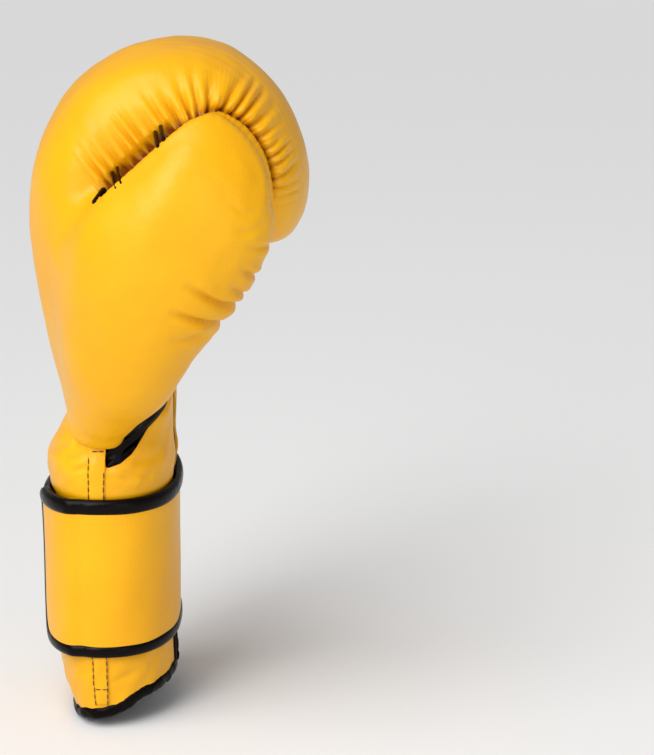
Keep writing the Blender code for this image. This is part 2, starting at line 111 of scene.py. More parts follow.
CUFF = (
    (0, 17.0, 32.0, 43.0, 44.0),
    (17, 23.0, 32.0, 44.0, 45.0),
    (35, 25.5, 31.5, 45.0, 45.5),
    (52, 26.0, 31.5, 45.0, 45.5),
    (70, 26.0, 31.5, 45.0, 45.0),
    (88, 26.0, 31.5, 44.5, 45.0),
    (105, 26.5, 32.0, 43.0, 44.0),
    (122, 28.0, 33.0, 41.5, 43.0),
    (140, 23.0, 34.0, 38.5, 41.0),
)
CUFF_TOP = 140.0
CUFF_POWER = 0.9


def blend_rows(rows, t):
    """A smooth (Catmull-Rom) row of values at t, from 0 at the first row to 1 at the last."""
    last = len(rows) - 1
    at = min(max(t, 0.0), 1.0) * last
    i = min(int(at), last - 1)
    f = at - i
    before, a, b, after = (np.array(rows[min(max(k, 0), last)], float) for k in (i - 1, i, i + 1, i + 2))
    slope1, slope2 = (b - before) / 2, (after - a) / 2
    return (
        a + slope1 * f + (3 * (b - a) - 2 * slope1 - slope2) * f * f + (2 * (a - b) + slope1 + slope2) * f**3
    )


def signed_power(value, power):
    return math.copysign(abs(value) ** power, value)


def cos_sin(angle, power=1.0):
    """Cosine and sine of an angle in degrees, raised to power with their signs kept."""
    turn = math.radians(angle)
    return signed_power(math.cos(turn), power), signed_power(math.sin(turn), power)


def smooth(value):
    """0 below 0, 1 above 1, and an even S between; works on numbers and arrays."""
    f = np.clip(value, 0.0, 1.0)
    return f * f * (3 - 2 * f)


def hand_point(t, angle):
    bx, bz, px, pz, thumb, little = blend_rows(HAND, t)
    half = Vector((bx - px, 0, bz - pz)) / 2
    middle = Vector((px, 0, pz)) + half
    way = half.normalized()
    c, s = cos_sin(angle, ROUNDNESS)
    width = thumb if s > 0 else little
    return middle + way * half.length * c + Vector((0, -width * s, 0))


def thumb_point(t, angle):
    x, y, z, back, palm, away, near = blend_rows(THUMB, t)
    c, s = cos_sin(angle)
    out = away if c > 0 else near
    wide = palm if s > 0 else back
    return Vector((x, y, z)) + THUMB_OUT * out * c + THUMB_ACROSS * wide * s


def root_point(t, angle):
    x, y, z, wide, deep = blend_rows(ROOT, t)
    c, s = cos_sin(angle)
    return Vector((x + wide * c, y + deep * s, z))


def cuff_point(z, angle, out=0.0):
    """A point on the cuff's leather; the angle runs from the palm round the thumb side to the back."""
    back, palm, thumb, little = blend_rows(CUFF, z / CUFF_TOP)[1:]
    c, s = cos_sin(angle, CUFF_POWER)
    x = ((palm if c > 0 else back) + out) * c
    y = -((thumb if s > 0 else little) + out) * s
    return Vector((x, y, z))


# ---------- mesh helpers


def new_object(name, data):
    obj = bpy.data.objects.new(name, data)
    bpy.context.scene.collection.objects.link(obj)
    return obj


def mesh_object(name, points_mm, faces):
    mesh = bpy.data.meshes.new(name)
    mesh.from_pydata([place(p) for p in points_mm], [], faces)
    mesh.validate()
    mesh.shade_smooth()
    return new_object(name, mesh)


def tube_faces(rings, ring, first=0, caps=True):
    """The faces of a tube whose points run ring after ring from number first; caps shut its two ends."""
    faces = []
    for i in range(rings - 1):
        for j in range(ring):
            a, b = first + i * ring + j, first + i * ring + (j + 1) % ring
            faces.append((a, b, b + ring, a + ring))
    if caps:
        faces.append(tuple(first + j for j in reversed(range(ring))))
        faces.append(tuple(first + (rings - 1) * ring + j for j in range(ring)))
    return faces


def closed_grid(surface, rows, columns):
    """Points and faces of a tube that surface(t, angle) describes, with both ends shut."""
    points = [surface(i / rows, 360.0 * j / columns) for i in range(rows + 1) for j in range(columns)]
    return points, tube_faces(rows + 1, columns)


def set_all(thing, values):
    for key, value in values.items():
        setattr(thing, key, value)


def modify(obj, kind, **values):
    """Adds one modifier and makes its result the object's mesh."""
    set_all(obj.modifiers.new(kind, kind), values)
    graph = bpy.context.evaluated_depsgraph_get()
    baked = bpy.data.meshes.new_from_object(obj.evaluated_get(graph))
    obj.modifiers.clear()
    old = obj.data
    obj.data = baked
    bpy.data.meshes.remove(old)


def read_vectors(obj, kind):
    flat = np.empty(len(obj.data.vertices) * 3, np.float32)
    obj.data.vertices.foreach_get(kind, flat)
    return flat.reshape(-1, 3).astype(float)


def read_points(obj):
    """The mesh's points in design millimetres, as an array."""
    return read_vectors(obj, "co") / MM - np.array(DESIGN_ORIGIN)


def write_points(obj, points):
    flat = ((points + np.array(DESIGN_ORIGIN)) * MM).astype(np.float32).ravel()
    obj.data.vertices.foreach_set("co", flat)
    obj.data.update()


def push_out(obj, move):
    """Moves each point along its normal, by its own number of millimetres."""
    write_points(obj, read_points(obj) + read_vectors(obj, "normal") * move[:, None])


def change_mesh(obj, change):
    """Runs change on the mesh in its editable form."""
    made = bmesh.new()
    made.from_mesh(obj.data)
    change(made)
    made.to_mesh(obj.data)
    made.free()


def face_out(obj):
    change_mesh(obj, lambda made: bmesh.ops.recalc_face_normals(made, faces=made.faces))


def store_painted_crease_shade(obj, values=0.0):
    """Painted shade in the folds: how deep in a fold each point lies, from 0 to 1, which darkens the
    leather's colour there.
    """
    stored = obj.data.attributes.new("fold", "FLOAT", "POINT")
    everywhere = np.zeros(len(obj.data.vertices)) + values
    stored.data.foreach_set("value", everywhere.astype(np.float32))


def edge_pairs(obj):
    flat = np.empty(len(obj.data.edges) * 2, np.int32)
    obj.data.edges.foreach_get("vertices", flat)
    return flat.reshape(-1, 2)


def relax(points, pairs, weight, rounds):
    """Each point moves towards the middle of its neighbours, by weight (one number for each point)."""
    counts = np.bincount(pairs.ravel(), minlength=len(points))[:, None]
    for _ in range(rounds):
        total = np.zeros_like(points)
        np.add.at(total, pairs[:, 0], points[pairs[:, 1]])
        np.add.at(total, pairs[:, 1], points[pairs[:, 0]])
        points = points + (total / np.maximum(counts, 1) - points) * weight[:, None]
    return points


def unit(vector):
    return vector / np.linalg.norm(vector)


def noise(points, scale, seed):
    """Smooth value noise in about -1..1 at each point, from a few sine waves."""
    rng = np.random.default_rng(seed)
    total = np.zeros(len(points))
    for _ in range(6):
        way = unit(rng.normal(size=3))
        total += np.sin(points @ way * (2 * math.pi / scale) * rng.uniform(0.6, 1.5) + rng.uniform(0, 6.28))
    return total / 3.2


def arc_of(line):
    """How far along the line each of its points lies."""
    return np.concatenate([[0.0], np.cumsum(np.linalg.norm(np.diff(line, axis=0), axis=1))])


def path_of(points, count):
    """A smooth curve through the given points, as count points, and its arc length at each."""
    rows = [tuple(p) for p in points]
    line = np.array([blend_rows(rows, i / (count - 1)) for i in range(count)])
    return line, arc_of(line)


def nearest_on(line, arc, points):
    """For each point: its distance from the line, and how far along the line its nearest place is."""
    best = np.full(len(points), np.inf)
    along = np.zeros(len(points))
    for i in range(len(line) - 1):
        step = line[i + 1] - line[i]
        size = step @ step
        share = np.clip((points - line[i]) @ step / size, 0.0, 1.0)
        gap = points - line[i] - share[:, None] * step
        away = np.einsum("ij,ij->i", gap, gap)
        nearer = away < best
        best[nearer] = away[nearer]
        along[nearer] = arc[i] + share[nearer] * math.sqrt(size)
    return np.sqrt(best), along


def inside(corners, points):
    """Which of the points, in a plane, lie inside the closed outline."""
    found = np.zeros(len(points), bool)
    x, y = points[:, 0], points[:, 1]
    for (x0, y0), (x1, y1) in zip(corners, np.roll(corners, -1, axis=0)):
        if y0 == y1:
            continue
        crosses = (y0 > y) != (y1 > y)
        found ^= crosses & (x < (x1 - x0) * (y - y0) / (y1 - y0) + x0)
    return found


# ---------- the leather skin of hand and thumb

VOXEL = 2.4
SEAM = (  # x and z of the gathered seam seen from the thumb's side, from the corner tack to the fingertips
    (5, 264), (14, 272), (24, 281), (33, 289), (41, 295), (49, 299), (58, 300.5), (66, 297.5), (73, 292),
    (79, 283.5), (83, 273), (84, 261), (82, 248),
)
SEAM_ROOM = ((74, 235), (60, 200), (40, 160), (-10, 150), (-30, 200), (-8, 250))  # closes the thumb's outline
LITTLE_SEAM_SPAN = (0.30, 0.93)  # the same seam on the little finger's side, as shares of the curl
MOUTH = (20.0, 30.0)  # half sizes of the opening left in the skin's underside
MOUTH_MIDDLE, MOUTH_HEIGHT = (7, 2, 0), 156.5
MERGE_REACH = 16.0  # how near the hand's and the thumb's surfaces lie where the leather runs on unbroken


def palm_draw(point):
    """The hand's lower edge is drawn up on the palm side, above the gusset, and in under the cuff's flap."""
    up = 9.0 * (smooth((point.x - 4) / 14) * smooth((170 - point.z) / 22))
    back = -3.4 * (smooth((point.x - 12) / 16) * smooth((176 - point.z) / 18))
    return Vector((back, 0, up))


def skin_base():
    """Hand and thumb as one closed shape, voxel by voxel, then eased where the leather runs on unbroken."""
    hand, hand_faces = closed_grid(hand_point, 110, 120)
    hand = [p + palm_draw(p) for p in hand]
    thumb, thumb_faces = closed_grid(thumb_point, 80, 90)
    points, faces = [], []
    for more, more_faces in ((hand, hand_faces), (thumb, thumb_faces), closed_grid(root_point, 40, 60)):
        faces += [tuple(i + len(points) for i in face) for face in more_faces]
        points += more
    skin = mesh_object("glove_skin", points, faces)
    face_out(skin)
    modify(skin, "REMESH", mode="VOXEL", voxel_size=VOXEL * MM)
    points, pairs = read_points(skin), edge_pairs(skin)
    hand_tree = BVHTree.FromPolygons(hand, hand_faces)
    thumb_tree = BVHTree.FromPolygons(thumb, thumb_faces)
    apart = np.array([hand_tree.find_nearest(p)[3] + thumb_tree.find_nearest(p)[3] for p in points])
    centre_x = np.interp(points[:, 2], [row[2] for row in THUMB], [row[0] for row in THUMB])
    behind = smooth((centre_x - 4 - points[:, 0]) / 12) * smooth((-18 - points[:, 1]) / 10)
    below_tack = smooth((262 - points[:, 2]) / 16) * smooth((points[:, 2] - 146) / 14)
    merge = np.exp(-((apart / MERGE_REACH) ** 2)) * behind * below_tack
    points = relax(points, pairs, 0.95 * merge, 110)
    points = relax(points, pairs, np.full(len(points), 0.5), 4)
    write_points(skin, points)
    open_underside(skin)
    modify(skin, "SUBSURF", levels=1, render_levels=1)
    refine(skin)
    return skin


def seam_field(points):
    """Distance from the gathered seam and place along it, seen from the thumb's side; and which side."""
    line, arc = path_of(SEAM, 120)
    flat = points[:, [0, 2]]
    distance, along = nearest_on(line, arc, flat)
    thumb_side = inside(np.concatenate([line, np.array(SEAM_ROOM, float)]), flat)
    return distance, along, thumb_side, arc[-1]


def refine(skin):
    """Cuts the faces near the gathered seam in four, so that its folds come out sharp."""
    distance, _, thumb_side, _ = seam_field(read_points(skin))
    near = (distance < np.where(thumb_side, 5.0, 21.0)) & (read_points(skin)[:, 1] < -22)

    def split(made):
        edges = [e for e in made.edges if near[e.verts[0].index] and near[e.verts[1].index]]
        bmesh.ops.subdivide_edges(made, edges=edges, cuts=1, use_grid_fill=True, smooth=0.0)

    change_mesh(skin, split)


def open_underside(skin):
    """Removes the middle of the flat underside, where the hand goes in."""
    middle = place(MOUTH_MIDDLE)

    def in_mouth(face):
        centre = face.calc_center_median()
        x, y = (centre.x - middle.x) / (MOUTH[0] * MM), (centre.y - middle.y) / (MOUTH[1] * MM)
        return centre.z < MOUTH_HEIGHT * MM and x**2 + y**2 < 1

    def cut(made):
        bmesh.ops.delete(made, geom=[face for face in made.faces if in_mouth(face)], context="FACES")

    change_mesh(skin, cut)


def wobble(values, scale, seed):
    """Smooth noise along one number."""
    return noise(np.stack([values, values * 0, values * 0], axis=1), scale, seed)


def gathers(distance, along, spacing, depth, length, seed, lean=0.0, sharp=0.12):
    """Leather drawn in at a seam: narrow valleys that run away from it between rounded pillows, each fold of
    its own length and depth. The valleys open out and grow shallow with distance."""
    turns = (along + lean * distance) / spacing + 0.32 * wobble(along, spacing * 3.1, seed)
    turns = turns + 0.012 * distance * wobble(along, spacing * 5.3, seed + 7)
    fold = np.round(turns)
    rng = np.random.default_rng(seed)
    sizes = rng.uniform(0.55, 1.0, 400)
    reach = rng.uniform(0.6, 1.3, 400)
    index = fold.astype(int) % 400
    off = np.abs(turns - fold)
    width = sharp + 0.010 * distance
    valley = np.exp(-((off / width) ** 2)) * sizes[index]
    pillow = 0.30 * (1 - np.cos(off * 2 * math.pi))
    fade = np.exp(-((distance / (length * reach[index])) ** 2.2))
    pillow_fade = np.exp(-((distance / (0.8 * length)) ** 2))
    return -depth * valley * fade + depth * pillow * pillow_fade


SOFT_CREASES = (  # path as (x, z) seen from the thumb side, depth, half width
    (((5.5, 264), (-1.4, 257), (-6, 252.5), (-14.5, 241)), 1.1, 3.2),
    (((47, 224), (53, 220), (60.5, 215), (66, 213.6), (72, 214)), 2.4, 1.5),
    (((40, 212), (46.5, 209.2), (55.8, 205.5), (61.6, 204.3), (67, 206)), 2.6, 1.6),
    (((39, 198.5), (43.3, 197.9), (51.5, 199.3), (58, 202)), 1.2, 1.6),
    (((66, 223), (68.8, 220), (71, 217.7), (76, 218)), 1.8, 1.3),
    (((71, 231), (73.7, 227.9), (78, 225)), 1.6, 1.2),
    (((66, 260.6), (71, 257), (76, 256.6)), 0.5, 1.0),
    (((68, 249), (74, 248), (79, 250.4)), 0.5, 1.2),
    (((74, 241), (79, 240), (84, 241)), 0.9, 1.2),
)


def shape_skin(skin):
    """Gathers, seam and creases, as moved points; also stores how deep in a fold each point lies, as painted
    shade for the leather's colour.
    """
    points = read_points(skin)
    distance, along, thumb_side, whole = seam_field(points)
    near_side = smooth((-24 - points[:, 1]) / 10)
    slab_side, lobe_side = ~thumb_side * near_side, thumb_side * near_side
    ends = smooth((along + 1) / 4) * smooth((whole - along - 4) / 20)
    right = smooth((along - 84) / 14)
    left_depth, right_depth = 2.5, 1.7
    pleats = gathers(distance, along, 5.3, left_depth, 15, 5, lean=-0.10) * (1 - right)
    pleats = pleats + gathers(distance, along, 4.6, right_depth, 11, 19, lean=0.35) * right
    pleats = pleats + gathers(distance, along, 2.6, 0.55, 5, 23, sharp=0.2)
    pleats[distance > 30] = 0.0
    lip = -2.2 * np.exp(-((distance / 2.6) ** 2))
    gap = 1 - smooth((along - 44) / 10)
    groove = -(2.4 + 2.6 * gap) * ends * np.exp(-((distance / (1.1 + 0.5 * gap)) ** 2))
    welt = 0.8 * np.exp(-(((distance - 3.6) / 1.7) ** 2))
    pucker = gathers(distance, along, 4.1, 0.30, 4, 31)
    move = slab_side * ends * (pleats + lip) + lobe_side * ends * (welt + pucker) + near_side * groove
    little = [hand_point(t, -96) for t in np.linspace(*LITTLE_SEAM_SPAN, 40)]
    far_line, far_arc = path_of(little, 120)
    far_distance, far_along = nearest_on(far_line, far_arc, points)
    far_ends = smooth(far_along / 10) * smooth((far_arc[-1] - far_along) / 10)
    far = gathers(far_distance, far_along, 5.8, 1.7, 13, 41) - 1.6 * np.exp(-((far_distance / 1.8) ** 2))
    far[far_distance > 26] = 0.0
    move = move + far * far_ends
    # The folds' depths also set the painted shade that darkens the leather's colour in them.
    crease_shade_depth = move.copy()
    front = smooth((-28 - points[:, 1]) / 8)
    flat = points[:, [0, 2]]
    for path, depth, width in SOFT_CREASES:
        curve, curve_arc = path_of(path, 24)
        away, at = nearest_on(curve, curve_arc, flat)
        taper = np.sin(np.clip(at / curve_arc[-1], 0, 1) * math.pi * 0.92 + 0.08) ** 0.6
        dip = np.exp(-((away / width) ** 2)) - 0.35 * np.exp(-(((away - 2.6 * width) / (1.3 * width)) ** 2))
        move -= depth * dip * taper * front
        # Only the narrow creases add to the painted shade.
        crease_shade_depth -= (0.7 if width < 2 else 0.0) * depth * dip * taper * front
    move += 0.28 * noise(points, 34, 3) + 0.10 * noise(points, 9, 4)
    push_out(skin, move)
    # Painted shade where the leather lies more than half a millimetre down in a fold.
    store_painted_crease_shade(skin, np.clip(-(crease_shade_depth + 0.5) / 3.4, 0, 1) ** 1.3)
    skin.data.shade_smooth()


# ---------- materials


def node_tree(name):
    made = bpy.data.materials.new(name)
    made.use_nodes = True
    tree = made.node_tree
    return made, tree, tree.nodes["Principled BSDF"]


def set_node(node, **values):
    """Sets a node's own settings, and its inputs by their names with _ for each space."""
    for key, value in values.items():
        if hasattr(node, key):
            setattr(node, key, value)
        else:
            node.inputs[key.replace("_", " ")].default_value = value
    return node


def add_node(tree, kind, **values):
    return set_node(tree.nodes.new(kind), **values)


def ramp(tree, source, stops, into=None):
    """A colour ramp fed by source, and linked into a socket; stops are (place, colour)."""
    node = tree.nodes.new("ShaderNodeValToRGB")
    elements = node.color_ramp.elements
    while len(elements) < len(stops):
        elements.new(0.5)
    for element, (at, colour) in zip(elements, stops):
        element.position = at
        element.color = (*colour, 1.0)
    tree.links.new(source, node.inputs["Fac"])
    if into:
        tree.links.new(node.outputs["Color"], into)
    return node.outputs["Color"]


def grey(value):
    return (value, value, value)


def texture(tree, kind, **values):
    """A texture node in object space."""
    node = add_node(tree, "ShaderNodeTex" + kind, **values)
    where = tree.nodes.get("Texture Coordinate") or tree.nodes.new("ShaderNodeTexCoord")
    tree.links.new(where.outputs["Object"], node.inputs["Vector"])
    return node


def bumps(tree, shader, *layers):
    """Bump layers as (height, strength, distance), each over the one before."""
    under = None
    for height, strength, distance in layers:
        bump = add_node(tree, "ShaderNodeBump", Strength=strength, Distance=distance)
        tree.links.new(height, bump.inputs["Height"])
        if under is not None:
            tree.links.new(under, bump.inputs["Normal"])
        under = bump.outputs["Normal"]
    tree.links.new(under, shader.inputs["Normal"])


def leather(name, colours, roughness, grain, crease_shade_colour=None, coat=0.0, shine=0.09):
    """Grained leather: pebbled bump, fine wrinkles, mottled colour, and painted shade down in the folds."""
    made, tree, shader = node_tree(name)
    broad = texture(tree, "Noise", Scale=22.0, Detail=3.0, Roughness=0.55)
    colour = ramp(tree, broad.outputs["Fac"], [(0.30, colours[0]), (0.72, colours[1])])
    if crease_shade_colour:
        # Painted shade: the fold attribute mixes a dark brown into the colour down in folds and creases.
        depth = add_node(tree, "ShaderNodeAttribute", attribute_name="fold")
        mix = add_node(tree, "ShaderNodeMix", data_type="RGBA")
        tree.links.new(depth.outputs["Fac"], mix.inputs["Factor"])
        tree.links.new(colour, mix.inputs["A"])
        mix.inputs["B"].default_value = (*crease_shade_colour, 1.0)
        colour = mix.outputs["Result"]
    tree.links.new(colour, shader.inputs["Base Color"])
    pores = texture(tree, "Voronoi", Scale=grain, feature="DISTANCE_TO_EDGE")
    pore_edges = ramp(tree, pores.outputs["Distance"], [(0.0, grey(0.0)), (0.22, grey(1.0))])
    fine = texture(tree, "Noise", Scale=grain * 0.42, Detail=6.0, Roughness=0.6).outputs["Fac"]
    bumps(tree, shader, (pore_edges, 0.16, 0.00025), (fine, 0.22, 0.0007))
    stops = [(0.3, grey(roughness - 0.05)), (0.7, grey(roughness + 0.07))]
    ramp(tree, fine, stops, shader.inputs["Roughness"])
    set_node(shader, Coat_Weight=coat, Coat_Roughness=0.22, Specular_IOR_Level=shine)
    return made


def thread_look():
    """Twisted sewing thread."""
    made, tree, shader = node_tree("sewing_thread")
    twist = texture(tree, "Wave", Scale=900.0, Distortion=1.5, bands_direction="DIAGONAL").outputs["Fac"]
    stops = [(0.2, (0.040, 0.012, 0.004)), (0.8, (0.090, 0.030, 0.008))]
    ramp(tree, twist, stops, shader.inputs["Base Color"])
    bumps(tree, shader, (twist, 0.5, 0.0002))
    set_node(shader, Roughness=0.6)
    return made


def cloth_look():
    """Plain-weave lining: two crossed sets of fine ribs over a slightly uneven dark cloth."""
    made, tree, shader = node_tree("lining_weave")
    weave = add_node(tree, "ShaderNodeMath", operation="MULTIPLY")
    for socket, direction in zip(weave.inputs, "ZX"):
        ribs = texture(tree, "Wave", Scale=420.0, Distortion=0.6, bands_direction=direction)
        tree.links.new(ribs.outputs["Fac"], socket)
    patches = texture(tree, "Noise", Scale=35.0, Detail=4.0).outputs["Fac"]
    stops = [(0.3, (0.018, 0.018, 0.020)), (0.7, (0.036, 0.035, 0.038))]
    ramp(tree, patches, stops, shader.inputs["Base Color"])
    bumps(tree, shader, (weave.outputs[0], 0.6, 0.0004))
    set_node(shader, Roughness=0.85, Sheen_Weight=0.25, Sheen_Roughness=0.5)
    return made


def tape_look():
    """Hook-and-loop tape: a dense nap of tiny loops."""
    made, tree, shader = node_tree("hook_loop_nap")
    loops = texture(tree, "Voronoi", Scale=1300.0).outputs["Distance"]
    fuzz = texture(tree, "Noise", Scale=500.0, Detail=5.0).outputs["Fac"]
    stops = [(0.1, (0.030, 0.030, 0.032)), (0.6, grey(0.006))]
    ramp(tree, loops, stops, shader.inputs["Base Color"])
    bumps(tree, shader, (loops, 0.9, 0.0005), (fuzz, 0.5, 0.0006))
    set_node(shader, Roughness=0.9, Sheen_Weight=0.4)
    return made


YELLOWS = ((0.86, 0.395, 0.0004), (0.90, 0.450, 0.001))
# Dark brown painted shade for the bottoms of folds and creases in the yellow leather.
PAINTED_CREASE_SHADE = (0.26, 0.055, 0.001)
BLACKS = ((0.002, 0.001, 0.001), (0.004, 0.002, 0.002))
GLOSS_BLACKS = ((0.002, 0.0007, 0.0009), (0.004, 0.002, 0.002))


def make_materials():
    """Each material with the name of its slot."""
    return {
        "yellow": (
            # yellow leather with brown painted shade in its folds
            leather("glove_leather", YELLOWS, 0.37, 900.0, PAINTED_CREASE_SHADE, coat=0.07, shine=0.27),
            "yellow_leather",
        ),
        "black": (leather("binding_leather", BLACKS, 0.30, 1100.0, shine=0.07), "black_leather"),
        "gloss": (leather("piping_leather", GLOSS_BLACKS, 0.19, 1100.0, coat=0.03), "black_leather"),
        "thread": (thread_look(), "black_leather"),
        "cloth": (cloth_look(), "lining_cloth"),
        "tape": (tape_look(), "hook_loop_tape"),
    }


# ---------- stage


def aim(obj, target):
    obj.rotation_euler = (Vector(target) - obj.location).to_track_quat("-Z", "Y").to_euler()


def add_light(name, kind, spot_m, target_m, **values):
    data = bpy.data.lights.new(name, kind)
    set_all(data, values)
    light = new_object(name, data)
    light.location = spot_m
    aim(light, target_m)


CAMERA_TARGET = (108, 0, 165)
CAMERA_RISE = 12.0  # degrees above level
CAMERA_DISTANCE = 1.0  # metres
LENS, SENSOR = 97.3, 36.0
LIT_MIDDLE = (20, 0, 190)  # what the lights point at


def build_stage():
    target = place(CAMERA_TARGET)
    rise = math.radians(CAMERA_RISE)
    data = bpy.data.cameras.new("camera")
    data.lens, data.sensor_width = LENS, SENSOR
    camera = new_object("camera", data)
    camera.location = target + Vector((0, -math.cos(rise), math.sin(rise))) * CAMERA_DISTANCE
    aim(camera, target)
    scene = bpy.context.scene
    scene.camera = camera
    middle = place(LIT_MIDDLE)
    add_light(
        "key", "AREA", (-0.70, -1.35, 0.95), middle,
        shape="RECTANGLE", size=0.7, size_y=0.9, energy=11.0, color=(1.0, 0.985, 0.96),
    )
    add_light("fill", "AREA", (0.75, -1.5, 0.60), middle, shape="RECTANGLE", size=0.9, size_y=0.9, energy=3.2)
    add_light("sky", "SUN", (-0.6, -0.8, 1.6), middle, energy=1.9, angle=math.radians(50))
    world = bpy.data.worlds.new("studio")
    world.use_nodes = True
    background = world.node_tree.nodes["Background"]
    background.inputs["Color"].default_value = (1.0, 1.0, 1.0, 1.0)
    background.inputs["Strength"].default_value = 0.33
    scene.world = world
    bpy.ops.mesh.primitive_plane_add(size=60.0, location=(0, 0, -0.0002))
    floor = bpy.context.object
    floor.name = "floor"
    made, tree, shader = node_tree("floor_paper")
    mottle = add_node(tree, "ShaderNodeTexNoise", Scale=3.0, Detail=2.0)
    stops = [(0.3, grey(0.86)), (0.7, grey(0.88))]
    ramp(tree, mottle.outputs["Fac"], stops, shader.inputs["Base Color"])
    shader.inputs["Roughness"].default_value = 0.9
    floor.data.materials.append(made)
    scene.view_settings.view_transform = "Standard"


HAND_SKIN_NODES = (
    "back_panel", "palm_panel", "finger_panel", "thumb_outer_panel", "thumb_inner_panel",
    "knuckle_pad_outer", "knuckle_pad_inner", "palm_pad", "finger_pad", "thumb_pad_outer", "thumb_pad_inner",
)


def give(obj, look, body=None, replaced=()):
    material, slot_name = look
    obj.data.materials.clear()
    obj.data.materials.append(material)
    if replaced:
        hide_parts(*replaced)
    if body:
        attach(obj, body)


def bend_at_wrist(obj):
    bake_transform(obj)


def build_skin(looks):
    skin = skin_base()
    shape_skin(skin)
    give(skin, looks["yellow"], replaced=HAND_SKIN_NODES)
    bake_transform(skin)


# ---------- patches, rolls and stitches


def shell(name, surface, rows, columns, thickness, open_first=False, open_last=False):
    """A skin of even thickness under surface(u, v), which is its outer side. An open end, at the first or
    the last v, has no wall, because another skin carries on from there."""
    us, vs = np.linspace(0, 1, rows), np.linspace(0, 1, columns)
    outer = np.array([[surface(u, v) for v in vs] for u in us])
    along = np.gradient(outer, axis=0)
    across = np.gradient(outer, axis=1)
    normal = np.cross(across, along)
    normal /= np.maximum(np.linalg.norm(normal, axis=2, keepdims=True), 1e-9)
    centre = outer.reshape(-1, 3).mean(axis=0) * np.array((1, 1, 0))
    if np.sum(normal * (outer - centre) * np.array((1, 1, 0))) < 0:
        normal = -normal
    inner = outer - normal * thickness
    points = np.concatenate([outer.reshape(-1, 3), inner.reshape(-1, 3)])
    layer = rows * columns
    faces = []
    for i in range(rows - 1):
        for j in range(columns - 1):
            a = i * columns + j
            quad = (a, a + 1, a + 1 + columns, a + columns)
            faces.append(quad)
            faces.append(tuple(layer + k for k in reversed(quad)))
    top = (rows - 1) * columns
    walls = [(j, j + 1) for j in range(columns - 1)]
    walls += [(top + j + 1, top + j) for j in range(columns - 1)]
    if not open_last:
        walls += [(i * columns + columns - 1, (i + 1) * columns + columns - 1) for i in range(rows - 1)]
    if not open_first:
        walls += [((i + 1) * columns, i * columns) for i in range(rows - 1)]
    faces += [(at, layer + at, layer + after, after) for at, after in walls]
    return join_parts(name, [(points, faces)])


def soften_rim(obj, width):
    """Rounds the thin edges of a shell."""
    modify(obj, "BEVEL", width=width * MM, segments=3, limit_method="ANGLE", angle_limit=math.radians(50))
    obj.data.shade_smooth()


def tube(line, outward, half_out, half_up, power=1.0, ring=20, caps=True):
    """Points and faces of a roll along a line. outward(i) points away from the glove. The section is an oval
    that reaches half_out that way and half_up across it, and both may be functions of the share along."""
    line = np.array(line, float)
    count = len(line)
    points = []
    for i in range(count):
        way = unit(line[min(i + 1, count - 1)] - line[max(i - 1, 0)])
        out = np.array(outward(i), float)
        out = unit(out - way * (out @ way))
        up = np.cross(way, out)
        share = i / (count - 1)
        reach = half_out(share) if callable(half_out) else half_out
        rise = half_up(share) if callable(half_up) else half_up
        for j in range(ring):
            c, s = cos_sin(360 * j / ring, power)
            points.append(line[i] + out * reach * c + up * rise * s)
    return points, tube_faces(count, ring, caps=caps)


def roll(name, *how, **more):
    return join_parts(name, [tube(*how, **more)])


def stitch_row(line, normals, length, gap, slack=0.0, seed=1):
    """Points and faces of short threads laid end to end along a line, half sunk in the leather."""
    line = np.array(line, float)
    arc = arc_of(line)
    radius, sides = 0.27, 8
    rng = np.random.default_rng(seed)
    points, faces = [], []
    start = gap / 2
    while start + length < arc[-1]:
        spots = np.linspace(start, start + length, 6)
        mid = [np.array([np.interp(at, arc, line[:, k]) for k in range(3)]) for at in spots]
        out = np.array([np.interp(start, arc, np.array(normals)[:, k]) for k in range(3)])
        side = unit(np.cross(unit(mid[-1] - mid[0]), out))
        shift = side * rng.uniform(-slack, slack)
        first = len(points)
        for k, spot in enumerate(mid):
            swell = math.sin(math.pi * (k + 0.35) / (len(mid) - 0.3)) ** 0.5
            lift = out * radius * (0.75 * swell - 0.25)
            for j in range(sides):
                c, s = cos_sin(360 * j / sides)
                points.append(spot + shift + lift + (side * c + out * s) * radius * swell)
        faces += tube_faces(len(mid), sides, first)
        start += length + gap
    return points, faces


def join_parts(name, parts):
    points, faces = [], []
    for more_points, more_faces in parts:
        offset = len(points)
        points += list(more_points)
        faces += [tuple(k + offset for k in face) for face in more_faces]
    obj = mesh_object(name, points, faces)
    face_out(obj)
    return obj


# ---------- the cuff

SLEEVE = CUFF[:-1] + (
    (140, 23.0, 33.2, 38.5, 41.0),
    (157.5, 20.5, 33.4, 42.5, 45.0),
    (175, 21.0, 33.0, 46.5, 49.5),
)
SLEEVE_TOP = SLEEVE[-1][0]
SLIT = 9.0  # degrees on each side of the palm's middle
SEAM_ANGLES = (86.5, 99.5)
TOP_EDGE = (  # angle, height of the sleeve's upper edge
    (9, 164), (15, 162.3), (21, 159.8), (30, 156), (40, 151.8), (50, 147), (60, 140), (66, 135.4),
    (75, 131.4), (84, 129.6), (86.5, 130), (87.5, 139), (92, 143), (97, 145), (104, 147), (120, 149),
    (150, 151), (180, 152), (225, 152), (270, 153), (320, 159), (351, 164.5),
)
HEM_EDGE = (  # angle from the middle of the palm either way, height of the hem
    (0, 16.2), (18, 15.2), (35, 14.2), (50, 13.8), (62, 12.4), (74, 8.2),
    (88, 4.4), (106, 3.8), (125, 2.2), (146, 0.6), (165, 0.1), (180, 0.0),
)
SLEEVE_LEATHER, LINING_DEPTH = 1.6, 9.2
EDGE_DEPTH = 4.4  # how far the middle of the hem roll and the slit rolls lies inside the leather's face
HEM_ROLL, SLIT_ROLL = (5.6, 3.6), (5.4, 1.9)  # half thickness and half height of each roll


